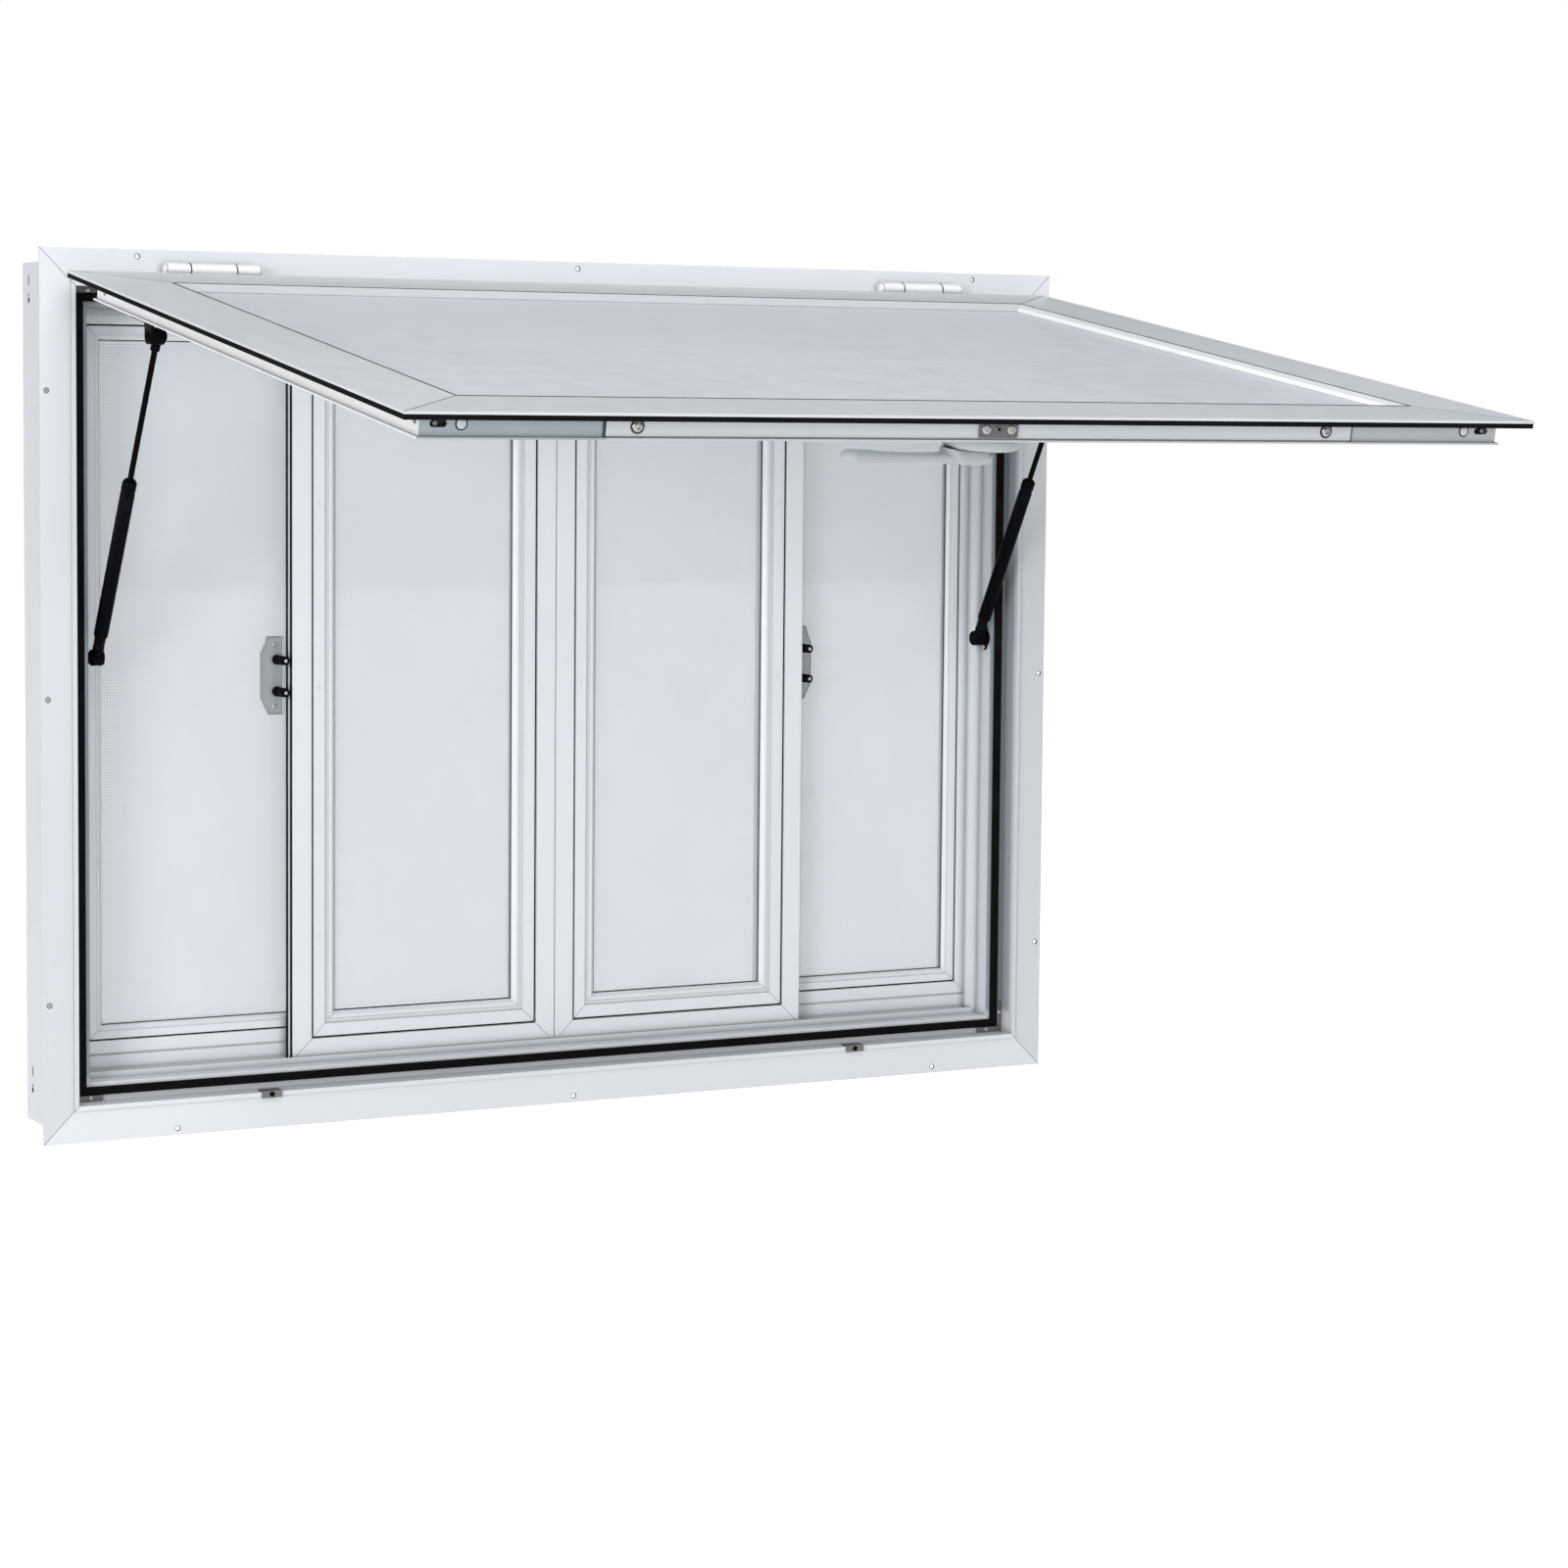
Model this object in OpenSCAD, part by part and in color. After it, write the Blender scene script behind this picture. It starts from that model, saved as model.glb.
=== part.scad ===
// Serving hatch window: a flanged aluminium frame that hangs in a wall opening,
// two pairs of glazed sashes behind it, and a top-hung awning door on two gas struts.
// Units are millimetres, +Z is up, the outside of the wall is towards -Y.
// The origin is on the back face of the wall flange, at mid width, where the
// underside of the frame box meets it.

/* [Overall size] */
// Width over the wall flange
flange_w = 1206; // [1100:1:1300]
// Height over the wall flange
flange_h = 914; // [860:1:980]
// Width of the fin that overlaps the wall, outside the frame box
fin = 13; // [10:1:18]
// Depth of the frame box behind the flange
box_d = 92; // [90:1:120]

/* [Frame extrusion] */
// Thickness of the flange sheet
flange_t = 2; // [1.5:0.5:3]
// Wall thickness of the hollow box
wall = 2; // [1.5:0.5:3]
// Radius of the fixing holes in the fin
screw_r = 2.4; // [2:0.1:3]

/* [Awning door] */
// How far the open door points below level, in degrees
droop = 9.6; // [0:0.1:20]
// Length of the door from its hinged edge to its free edge
door_l = 860; // [820:1:862]
// Margin of the door face inside each flange side
door_margin = 22; // [20:1:24]
// Depth of the door from its face to the back of its rails
door_t = 26.5; // [20:0.5:27]
// Radius of the hinge knuckles
knuckle_r = 8; // [5:0.5:9]
// Distance of each hinge from the middle
hinge_x = 423; // [300:1:450]

/* [Sashes] */
// Width of one front sash
sash_w = 310; // [290:1:320]
// Width of the front sash profile
stile_w = 50; // [46:1:56]
// Width of the rear sash profile
rear_stile = 28; // [24:1:32]
// Thickness of a glass pane
glass_t = 4; // [3:0.5:4]

/* [Gas struts] */
// Inset of the strut line from the flange edge
strut_s = 70; // [68:1:80]
// Radius of the strut cylinder
cyl_r = 7.5; // [7:0.5:9]
// Radius of the strut rod
rod_r = 3; // [3:0.5:4]
// Length of the cylinder from its lower pivot to its mouth
cyl_len = 211; // [190:1:212]

/* [Handle] */
// Distance of the handle pivot from the middle
handle_x = 16; // [0:0.5:40]
// Width of the flat border round the door face
face_border = 83; // [46:1:100]
// Length of the lever from its pivot
lever_l = 141; // [100:1:160]

/* [Hidden] */
$fn = 48;

x0 = -flange_w / 2;
z0 = -fin;
zt = z0 + flange_h;
swing = 90 - droop;
// hinge axis of the awning door
ax_y = -14.5;
ax_z = 880;
// door face, closed: y of the outer face, and the distance of the top edge below the axis
face_y = ax_y + 1;
edge_gap = 10;
door_w = flange_w - 2 * door_margin;
dx0 = -door_w / 2;
door_top = ax_z - edge_gap;
door_bot = door_top - door_l;
box_in = 24.5;
// insets of the frame profile from the flange edge
lip_s = 33;
recess_s = 38;
reveal_s = 57.6;
floor_y = 22;
track_s = 60;
track_y = 44;
front_y = 48;
rear_y = 69;
sash_t = 18;
// strut pivots: lower one on the frame, upper one on the door, both closed
p_y = 31;
p_z = 484;
q_dn = 151;
q_in = 46;
q_y = ax_y - q_dn * cos(droop) + q_in * sin(droop);
q_z = ax_z - q_dn * sin(droop) - q_in * cos(droop);
strut_x = flange_w / 2 - strut_s;
strut_open = sqrt(pow(q_y - p_y, 2) + pow(q_z - p_z, 2));
lean = atan2(p_y - q_y, q_z - p_z);
eye_w = 13;
white = [0.86, 0.875, 0.89];
steel = [0.55, 0.54, 0.52];
black = [0.03, 0.03, 0.035];

// one mitred member of a rectangular ring, from (x, z) to (x + w, z + h):
// the child is its section, s inwards from the outer edge and y in depth
module member(side, x, z, w, h, m, ya, yb) {
  translate([x, 0, z]) {
    if (side == "left") intersection() {
      linear_extrude(h) children();
      translate([0, yb, 0]) rotate([90, 0, 0]) linear_extrude(yb - ya) polygon([[-0.5, -0.5], [m, m], [m, h - m], [-0.5, h + 0.5]]);
    }
    if (side == "right") translate([w, 0, 0]) mirror([1, 0, 0]) intersection() {
      linear_extrude(h) children();
      translate([0, yb, 0]) rotate([90, 0, 0]) linear_extrude(yb - ya) polygon([[-0.5, -0.5], [m, m], [m, h - m], [-0.5, h + 0.5]]);
    }
    if (side == "bottom") intersection() {
      translate([w, 0, 0]) rotate([0, -90, 0]) linear_extrude(w) children();
      translate([0, yb, 0]) rotate([90, 0, 0]) linear_extrude(yb - ya) polygon([[-0.5, -0.5], [w + 0.5, -0.5], [w - m, m], [m, m]]);
    }
    if (side == "top") translate([0, 0, h]) mirror([0, 0, 1]) intersection() {
      translate([w, 0, 0]) rotate([0, -90, 0]) linear_extrude(w) children();
      translate([0, yb, 0]) rotate([90, 0, 0]) linear_extrude(yb - ya) polygon([[-0.5, -0.5], [w + 0.5, -0.5], [w - m, m], [m, m]]);
    }
  }
}

module rect2(a, b, c, d) { translate([a, c]) square([b - a, d - c]); }

// a block from one corner to the other
module blk(a, b) { translate(a) cube(b - a); }

// a cylinder along X, or along Y
module rod_x(xa, xb, y, z, r) { translate([xa, y, z]) rotate([0, 90, 0]) cylinder(h = xb - xa, r = r); }
module rod_y(x, ya, yb, z, r) { translate([x, yb, z]) rotate([90, 0, 0]) cylinder(h = yb - ya, r = r); }

// ---- frame: flange, raised inner lip, recess for the door, hollow box and reveal
module frame_section() {
  rect2(0, recess_s, -flange_t, 0);
  rect2(lip_s, recess_s, -flange_t - 1.2, 0);
  rect2(fin, fin + wall, -0.5, box_d);
  rect2(recess_s - wall, recess_s, -0.5, floor_y + wall);
  rect2(recess_s - wall, reveal_s, floor_y, floor_y + wall);
  rect2(reveal_s - wall, reveal_s, floor_y, box_d);
  rect2(fin, reveal_s, box_d - wall, box_d);
}
module frame_member(side) {
  member(side, x0, z0, flange_w, flange_h, 60, -5, box_d + 1) frame_section();
}
side_holes = [131, 444, 757];
module side_slots(sx) {
  for (z = [32, 850]) {
    rod_x(sx * (flange_w / 2 - fin) - 4, sx * (flange_w / 2 - fin) + 4, 73, z + 16, 1.6);
    rod_x(sx * (flange_w / 2 - fin) - 4, sx * (flange_w / 2 - fin) + 4, 73, z + 24, 1.6);
    blk([sx * (flange_w / 2 - fin) - 4, 71.4, z + 16], [sx * (flange_w / 2 - fin) + 4, 74.6, z + 24]);
    rod_x(sx * (flange_w / 2 - fin) - 4, sx * (flange_w / 2 - fin) + 4, 73, z, 3);
    rod_x(sx * (flange_w / 2 - fin) - 4, sx * (flange_w / 2 - fin) + 4, 73, z + 5, 1.8);
  }
}
module frame_left() { color(white) difference() {
  frame_member("left");
  for (z = side_holes) rod_y(x0 + 7, -5, 2, z, screw_r);
  side_slots(-1);
} }
module frame_right() { color(white) difference() {
  frame_member("right");
  for (z = side_holes) rod_y(-x0 - 7, -5, 2, z, screw_r);
  side_slots(1);
} }
module frame_head() { color(white) difference() {
  frame_member("top");
  for (x = [-499, 0, 499]) rod_y(x, -5, 2, zt - 7, screw_r);
} }
module frame_sill() { color(white) difference() {
  frame_member("bottom");
  for (x = [-458, 0, 458]) rod_y(x, -5, 2, z0 + 7, screw_r);
} }

// ---- track frame that carries the sashes
ti = reveal_s;
module track_section(mid) {
  rect2(0, track_s - ti, track_y, box_d);
  rect2(0, 6.4, track_y, track_y + 2);
  rect2(0, 6.4, box_d - 2, box_d);
  if (mid) rect2(0, 5.4, front_y + sash_t + 0.5, rear_y - 0.5);
}
module track_member(side, mid) {
  member(side, x0 + ti, z0 + ti, flange_w - 2 * ti, flange_h - 2 * ti, 8, track_y - 1, box_d + 1) track_section(mid);
}
module track_left() { color(white) track_member("left", false); }
module track_right() { color(white) track_member("right", false); }
module track_head() { color(white) track_member("top", true); }
module track_sill() { color(white) track_member("bottom", true); }

module ring(x, z, w, h, b, ya, yb) {
  difference() {
    blk([x, ya, z], [x + w, yb, z + h]);
    blk([x + b, ya - 1, z + b], [x + w - b, yb + 1, z + h - b]);
  }
}

// ---- black rubber seal on the recess floor
module frame_gasket() { color(black)
  ring(x0 + 44.5, z0 + 44.5, flange_w - 89, flange_h - 89, 8.5, floor_y - 3.5, floor_y);
}

// ---- pressed steel angles in the four corners of the recess
module corner_keys() { color(steel) for (sx = [-1, 1], sz = [-1, 1])
  translate([sx * (flange_w / 2 - 38.4), 0, sz > 0 ? zt - 38.4 : z0 + 38.4]) {
    difference() {
      union() {
        blk([sx > 0 ? -5.6 : 0, floor_y - 2.4, sz > 0 ? -34 : 0], [sx > 0 ? 0 : 5.6, floor_y, sz > 0 ? 0 : 34]);
        blk([sx > 0 ? -32 : 0, floor_y - 2.4, sz > 0 ? -5.6 : 0], [sx > 0 ? 0 : 32, floor_y, sz > 0 ? 0 : 5.6]);
      }
    }
  }
}

// ---- small folded steel keepers hooked over the lip of the sill
module sill_keepers() { color(steel) for (x = [-354, 354]) {
  difference() {
    blk([x - 11, -5, z0 + 32], [x + 11, -3.2, z0 + 39.5]);
    rod_y(x, -6, -2, z0 + 35.5, 2);
  }
  blk([x - 11, -3.2, z0 + 38], [x + 11, 9, z0 + 39.5]);
} }

// ---- hinges: two outer knuckles on a leaf fixed to the flange
module hinge_leaves_fixed() { color(white) for (hx = [-hinge_x, hinge_x]) {
  blk([hx - 50, -flange_t - 2.4, ax_z - 4], [hx + 50, -flange_t, ax_z + 7]);
  for (k = [-50, 25.5]) {
    rod_x(hx + k, hx + k + 24.5, ax_y, ax_z, knuckle_r);
    blk([hx + k, ax_y, ax_z - 2], [hx + k + 24.5, -flange_t - 2, ax_z + 6]);
  }
  // pin through the middle knuckle
  rod_x(hx - 52.5, hx + 52.5, ax_y, ax_z, 3);
} }

// ---- ball stud plates for the struts, on the reveal
module strut_studs_frame() { color(black) for (sx = [-1, 1]) translate([sx * (flange_w / 2 - reveal_s), 0, 0]) mirror([sx > 0 ? 1 : 0, 0, 0]) {
  rod_x(0, 2, p_y + 3, p_z, 9.8);
  rod_x(0, 2, p_y + 3, p_z - 9, 5);
  rod_x(0, 2, p_y + 3, p_z + 9, 5);
  rod_x(1, 4.6, p_y, p_z, 6);
} }

// ---- front sashes
module sash_section() {
  polygon([[0, 0], [22, 0], [22, 1.8], [24.5, 1.8], [24.5, 0.8], [37.5, 0.8], [38.5, 3], [42, 3], [42.8, 2], [46, 2], [stile_w, 5.5], [stile_w, 7],
    [stile_w - 5, 7], [stile_w - 5, 7 + glass_t], [stile_w, 7 + glass_t], [stile_w, 14], [stile_w - 4, sash_t], [0, sash_t]]);
}
module sash_front(x, w) {
  z = z0 + track_s; h = flange_h - 2 * track_s - 2;
  for (s = ["left", "right", "bottom", "top"])
    member(s, x, z, w, h, stile_w + 1, front_y - 1, front_y + sash_t + 1) translate([0, front_y]) sash_section();
}
module rear_section() {
  polygon([[0, 0], [12, 0], [12, 1.6], [14, 1.6], [14, 0.8], [21.5, 0.8], [22.5, 2.4], [25, 2.4], [rear_stile, 5], [rear_stile, 7],
    [rear_stile - 4, 7], [rear_stile - 4, 7 + glass_t], [rear_stile, 7 + glass_t], [rear_stile, 14], [rear_stile - 3, sash_t], [0, sash_t]]);
}
rear_w = 273;
rear_foot = 20;
module sash_rear(x) {
  z = z0 + track_s + rear_foot; h = flange_h - 2 * track_s - 2 - rear_foot;
  for (s = ["left", "right", "bottom", "top"])
    member(s, x, z, rear_w, h, rear_stile + 1, rear_y - 1, rear_y + sash_t + 1) translate([0, rear_y]) rear_section();
  difference() {
    blk([x, rear_y, z0 + track_s], [x + rear_w, rear_y + sash_t, z]);
    blk([x - 1, rear_y - 1, z - 3.5], [x + rear_w + 1, rear_y + 1.2, z - 1.2]);
  }
}
module sash_front_left() { color(white) sash_front(-sash_w, sash_w - 0.4); }
module sash_front_right() { color(white) sash_front(0.4, sash_w - 0.4); }
module sash_rear_left() { color(white) sash_rear(x0 + track_s); }
module sash_rear_right() { color(white) sash_rear(-x0 - track_s - rear_w); }

module pane(x, z, w, h, b, y, t) { blk([x + b, y, z + b], [x + w - b, y + t, z + h - b]); }
fz = z0 + track_s;
fh = flange_h - 2 * track_s - 2;
module glass_front_left() { color([0.8, 0.88, 0.92, 0.4]) pane(-sash_w, fz, sash_w - 0.4, fh, stile_w - 5, front_y + 7, glass_t); }
module glass_front_right() { color([0.8, 0.88, 0.92, 0.4]) pane(0.4, fz, sash_w - 0.4, fh, stile_w - 5, front_y + 7, glass_t); }
module glass_rear_left() { color([0.8, 0.88, 0.92, 0.4]) pane(x0 + track_s, fz + rear_foot, rear_w, fh - rear_foot, rear_stile - 4, rear_y + 7, glass_t); }
module glass_rear_right() { color([0.8, 0.88, 0.92, 0.4]) pane(-x0 - track_s - rear_w, fz + rear_foot, rear_w, fh - rear_foot, rear_stile - 4, rear_y + 7, glass_t); }
module screen_front_left() { color([0.6, 0.62, 0.64]) pane(-sash_w, fz, sash_w - 0.4, fh, stile_w, front_y + 12.4, 0.8); }
module screen_front_right() { color([0.6, 0.62, 0.64]) pane(0.4, fz, sash_w - 0.4, fh, stile_w, front_y + 12.4, 0.8); }
module screen_rear_left() { color([0.6, 0.62, 0.64]) pane(x0 + track_s, fz + rear_foot, rear_w, fh - rear_foot, rear_stile, rear_y + 12.4, 0.8); }
module screen_rear_right() { color([0.6, 0.62, 0.64]) pane(-x0 - track_s - rear_w, fz + rear_foot, rear_w, fh - rear_foot, rear_stile, rear_y + 12.4, 0.8); }

// ---- clear finger plates on the rear panes, each with two black turn knobs that stand past the front sash
module pull(sx) { color([0.8, 0.85, 0.86, 0.5]) translate([sx * sash_w, rear_y + 7, 458]) mirror([sx < 0 ? 1 : 0, 0, 0])
  rotate([90, 0, 0]) linear_extrude(2.5) polygon([[1, -42], [17, -42], [21, -34], [26, -24], [26, 24], [21, 34], [19, 42], [1, 42]]);
}
module knob_pair(sx) { for (dz = [-17, 17]) {
  rod_y(sx * (sash_w + 8.5), 45, rear_y + 4.5, 458 + dz, 3.8);
  rod_y(sx * (sash_w + 8.5), 45, 51, 458 + dz, 4.8);
  rod_y(sx * (sash_w + 8.5), rear_y - 2, rear_y + 4.5, 458 + dz, 5.2);
} }
module finger_plates() { pull(-1); pull(1); }
module turn_knobs() { color(black) { knob_pair(-1); knob_pair(1); } }

// ---- black pile seals let into the outer edges of the front sashes
module sash_edge_seals() { color(black) for (sx = [-1, 1], y = [1, 12.5])
  blk([sx > 0 ? sash_w : -sash_w - 0.8, front_y + y, z0 + track_s + 1], [sx > 0 ? sash_w + 0.8 : -sash_w, front_y + y + 4.5, z0 + flange_h - track_s - 3]);
}

// ---- awning door, modelled closed and swung up about the hinge axis
module open_door() { translate([0, ax_y, ax_z]) rotate([-swing, 0, 0]) translate([0, -ax_y, -ax_z]) children(); }

module rail_section() {
  rect2(0, 45, 0, 2.5);
  rect2(44, face_border, 0, 1.5);
  polygon([[face_border - 2, 0], [face_border, 0], [face_border + 14, 6], [face_border + 14, 7], [face_border - 2, 7]]);
  rect2(box_in, box_in + 1.8, 2, door_t);
  rect2(43.2, 45, 2, door_t - 1.2);
  rect2(box_in - 3, 45, door_t - 1.8, door_t);
}
module rail(side) {
  member(side, dx0, door_bot, door_w, door_l, face_border + 15, face_y - 1, face_y + door_t + 1) translate([0, face_y]) rail_section();
}
module awning_rail_left() { color(white) open_door() rail("left"); }
module awning_rail_right() { color(white) open_door() rail("right"); }
module awning_rail_top() { color(white) open_door() rail("top"); }
module awning_rail_bottom() { color(white) open_door() difference() {
  rail("bottom");
  for (sx = [-1, 1]) hull() for (k = [-5, 5]) translate([sx * 539 + k, face_y + 14, door_bot + box_in - 2]) cylinder(h = 6, r = 3, $fn = 24);
} }
module awning_panel() { color(white) open_door()
  blk([dx0 + face_border, face_y + 7, door_bot + face_border], [-dx0 - face_border, face_y + 8.2, door_top - face_border]);
}
module awning_liner() { color(white) open_door()
  blk([dx0 + 45, face_y + door_t - 1.2, door_bot + 45], [-dx0 - 45, face_y + door_t, door_top - 45]);
}
module awning_gasket() { color(black) open_door()
  ring(dx0 + 0.4, door_bot + 0.4, door_w - 0.8, door_l - 0.8, 10, face_y + 2.5, face_y + 7.2);
}
module awning_cover_strip() { color(white) open_door()
  blk([-386, face_y + 7, door_bot + box_in - 1], [386, face_y + door_t - 3, door_bot + box_in]);
}
module latch_plate() { color(steel) open_door() {
  difference() {
    blk([-20, face_y + 7.5, door_bot + box_in - 2.6], [20, face_y + 22.5, door_bot + box_in - 1]);
    translate([0, face_y + 15, door_bot + box_in - 4]) cylinder(h = 4, r = 2.4);
  }
  for (x = [-13, 13]) translate([x, face_y + 15, door_bot + box_in - 3.6]) cylinder(h = 1, r = 4.4);
} }
module awning_bolts() { color(steel) open_door() for (x = [-357, 357])
  translate([x, face_y + 15, door_bot + box_in - 4]) cylinder(h = 3, r = 5.2);
}
module hinge_leaves_door() { color(white) open_door() for (hx = [-hinge_x, hinge_x]) {
  difference() {
    union() {
      rod_x(hx - 24.5, hx + 24.5, ax_y, ax_z, knuckle_r);
      blk([hx - 24.5, face_y, ax_z - edge_gap], [hx + 24.5, face_y + 2.5, ax_z - 3]);
    }
    rod_x(hx - 30, hx + 30, ax_y, ax_z, 3.06);
  }
} }
// eye bracket for a strut: foot on the rail, ear and pin
module strut_brackets_door() { color(black) open_door() for (sx = [-1, 1]) translate([sx * strut_x, face_y, ax_z - q_dn]) mirror([sx > 0 ? 1 : 0, 0, 0]) {
  blk([-22, door_t, -18], [-7.5, door_t + 2.5, 18]);
  hull() {
    blk([-10.5, door_t, -12], [-7.5, door_t + 2, 12]);
    rod_x(-10.5, -7.5, q_in - 1, 0, 8);
  }
  rod_x(-8, 7.5, q_in - 1, 0, 3.5);
} }
module handle_frame() { open_door() translate([handle_x, face_y + door_t, door_bot + 77]) rotate([-90, 0, 0]) children(); }
module handle_base() { color(white) handle_frame() {
  cylinder(h = 10.5, r = 36);
  translate([0, 0, 10.5]) cylinder(h = 3, r1 = 36, r2 = 33, $fn = 64);
} }
module handle_lever() { color(white) handle_frame() {
  translate([0, 0, 14.1]) cylinder(h = 15.3, r = 13);
  hull() {
    translate([0, 0, 15]) cylinder(h = 14.4, r = 13, $fn = 32);
    translate([-34, 0, 18]) cylinder(h = 11.2, r = 11, $fn = 32);
  }
  hull() {
    translate([-34, 0, 18]) cylinder(h = 11.2, r = 11, $fn = 32);
    translate([-70, 0, 18.5]) cylinder(h = 9.5, r = 8.5, $fn = 32);
  }
  hull() {
    translate([-70, 0, 18.5]) cylinder(h = 9.5, r = 8.5, $fn = 32);
    translate([11 - lever_l, 0, 16]) cylinder(h = 13.4, r = 11, $fn = 32);
  }
} }

// ---- gas struts, drawn along Z from the lower pivot and leaned outwards
module strut_place(sx) { translate([sx * strut_x, p_y, p_z]) rotate([lean, 0, 0]) children(); }
module strut_cylinder(sx) { color(black) strut_place(sx) {
  difference() {
    union() {
      translate([0, 0, 26]) cylinder(h = cyl_len - 26, r = cyl_r);
      translate([0, 0, 8]) cylinder(h = 18.5, r = 6);
      translate([-eye_w / 2, 0, 0]) rotate([0, 90, 0]) cylinder(h = eye_w, r = 8.5);
      translate([0, 0, cyl_len - 4]) cylinder(h = 5, r = cyl_r);
    }
    translate([0, 0, 34]) cylinder(h = cyl_len, r = rod_r + 0.4);
  }
} }
module strut_rod(sx) { color(black) strut_place(sx) difference() {
  union() {
    translate([0, 0, cyl_len - 40]) cylinder(h = strut_open - cyl_len + 34, r = rod_r);
    translate([0, 0, strut_open - 16]) cylinder(h = 10, r = 5);
    translate([-eye_w / 2, 0, strut_open]) rotate([0, 90, 0]) cylinder(h = eye_w, r = 8.5);
  }
  translate([-10, 0, strut_open]) rotate([0, 90, 0]) cylinder(h = 20, r = 3.56);
} }
module strut_rod_left() { strut_rod(-1); }
module strut_rod_right() { strut_rod(1); }
module strut_cylinder_left() { strut_cylinder(-1); }
module strut_cylinder_right() { strut_cylinder(1); }

frame_left();
frame_right();
frame_head();
frame_sill();
track_left();
track_right();
track_head();
track_sill();
frame_gasket();
corner_keys();
sill_keepers();
hinge_leaves_fixed();
strut_studs_frame();
sash_front_left();
sash_front_right();
sash_rear_left();
sash_rear_right();
glass_front_left();
glass_front_right();
glass_rear_left();
glass_rear_right();
screen_front_left();
screen_front_right();
screen_rear_left();
screen_rear_right();
sash_edge_seals();
finger_plates();
turn_knobs();
awning_rail_left();
awning_rail_right();
awning_rail_top();
awning_rail_bottom();
awning_panel();
awning_liner();
awning_gasket();
awning_cover_strip();
latch_plate();
awning_bolts();
hinge_leaves_door();
strut_brackets_door();
handle_base();
handle_lever();
strut_rod_left();
strut_rod_right();
strut_cylinder_left();
strut_cylinder_right();
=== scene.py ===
import math
import bpy
import bmesh
from mathutils import Matrix, Vector


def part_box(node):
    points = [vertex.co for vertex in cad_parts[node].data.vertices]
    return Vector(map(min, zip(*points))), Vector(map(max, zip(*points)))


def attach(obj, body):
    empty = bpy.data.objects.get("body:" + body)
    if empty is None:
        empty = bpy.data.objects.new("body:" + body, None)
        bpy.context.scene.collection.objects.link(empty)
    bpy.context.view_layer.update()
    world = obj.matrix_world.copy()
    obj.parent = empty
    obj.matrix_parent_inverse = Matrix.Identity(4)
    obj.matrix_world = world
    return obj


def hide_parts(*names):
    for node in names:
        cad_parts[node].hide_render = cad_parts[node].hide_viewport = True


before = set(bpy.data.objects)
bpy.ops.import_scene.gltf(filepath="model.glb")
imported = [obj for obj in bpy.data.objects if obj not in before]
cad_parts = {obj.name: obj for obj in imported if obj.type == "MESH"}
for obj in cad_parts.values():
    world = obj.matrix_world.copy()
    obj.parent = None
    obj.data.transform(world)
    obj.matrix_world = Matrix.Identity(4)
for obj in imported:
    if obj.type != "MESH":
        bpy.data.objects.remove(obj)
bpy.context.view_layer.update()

# ---------------------------------------------------------------- sizes, mm
FW, FH, FIN = 1206.0, 914.0, 13.0
AX_Y, AX_Z = -14.5, 880.0
SWING = 80.4
FACE_Y = AX_Y + 1
DOOR_W, DOOR_L, DOOR_T = 1162.0, 860.0, 26.5
DOOR_TOP = AX_Z - 10
DOOR_BOT = DOOR_TOP - DOOR_L
BOX_IN = 24.5
STRUT_X, P_Y, P_Z, LEAN, STRUT_LEN = 533.0, 31.0, 484.0, 29.842, 375.2
ZB = -FIN
ZT = ZB + FH
STILE, REAR_STILE = 50.0, 28.0

OPEN = (Matrix.Translation((0, AX_Y, AX_Z)) @ Matrix.Rotation(math.radians(-SWING), 4, "X")
        @ Matrix.Translation((0, -AX_Y, -AX_Z)))
STAY = Matrix.Identity(4)


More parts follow.
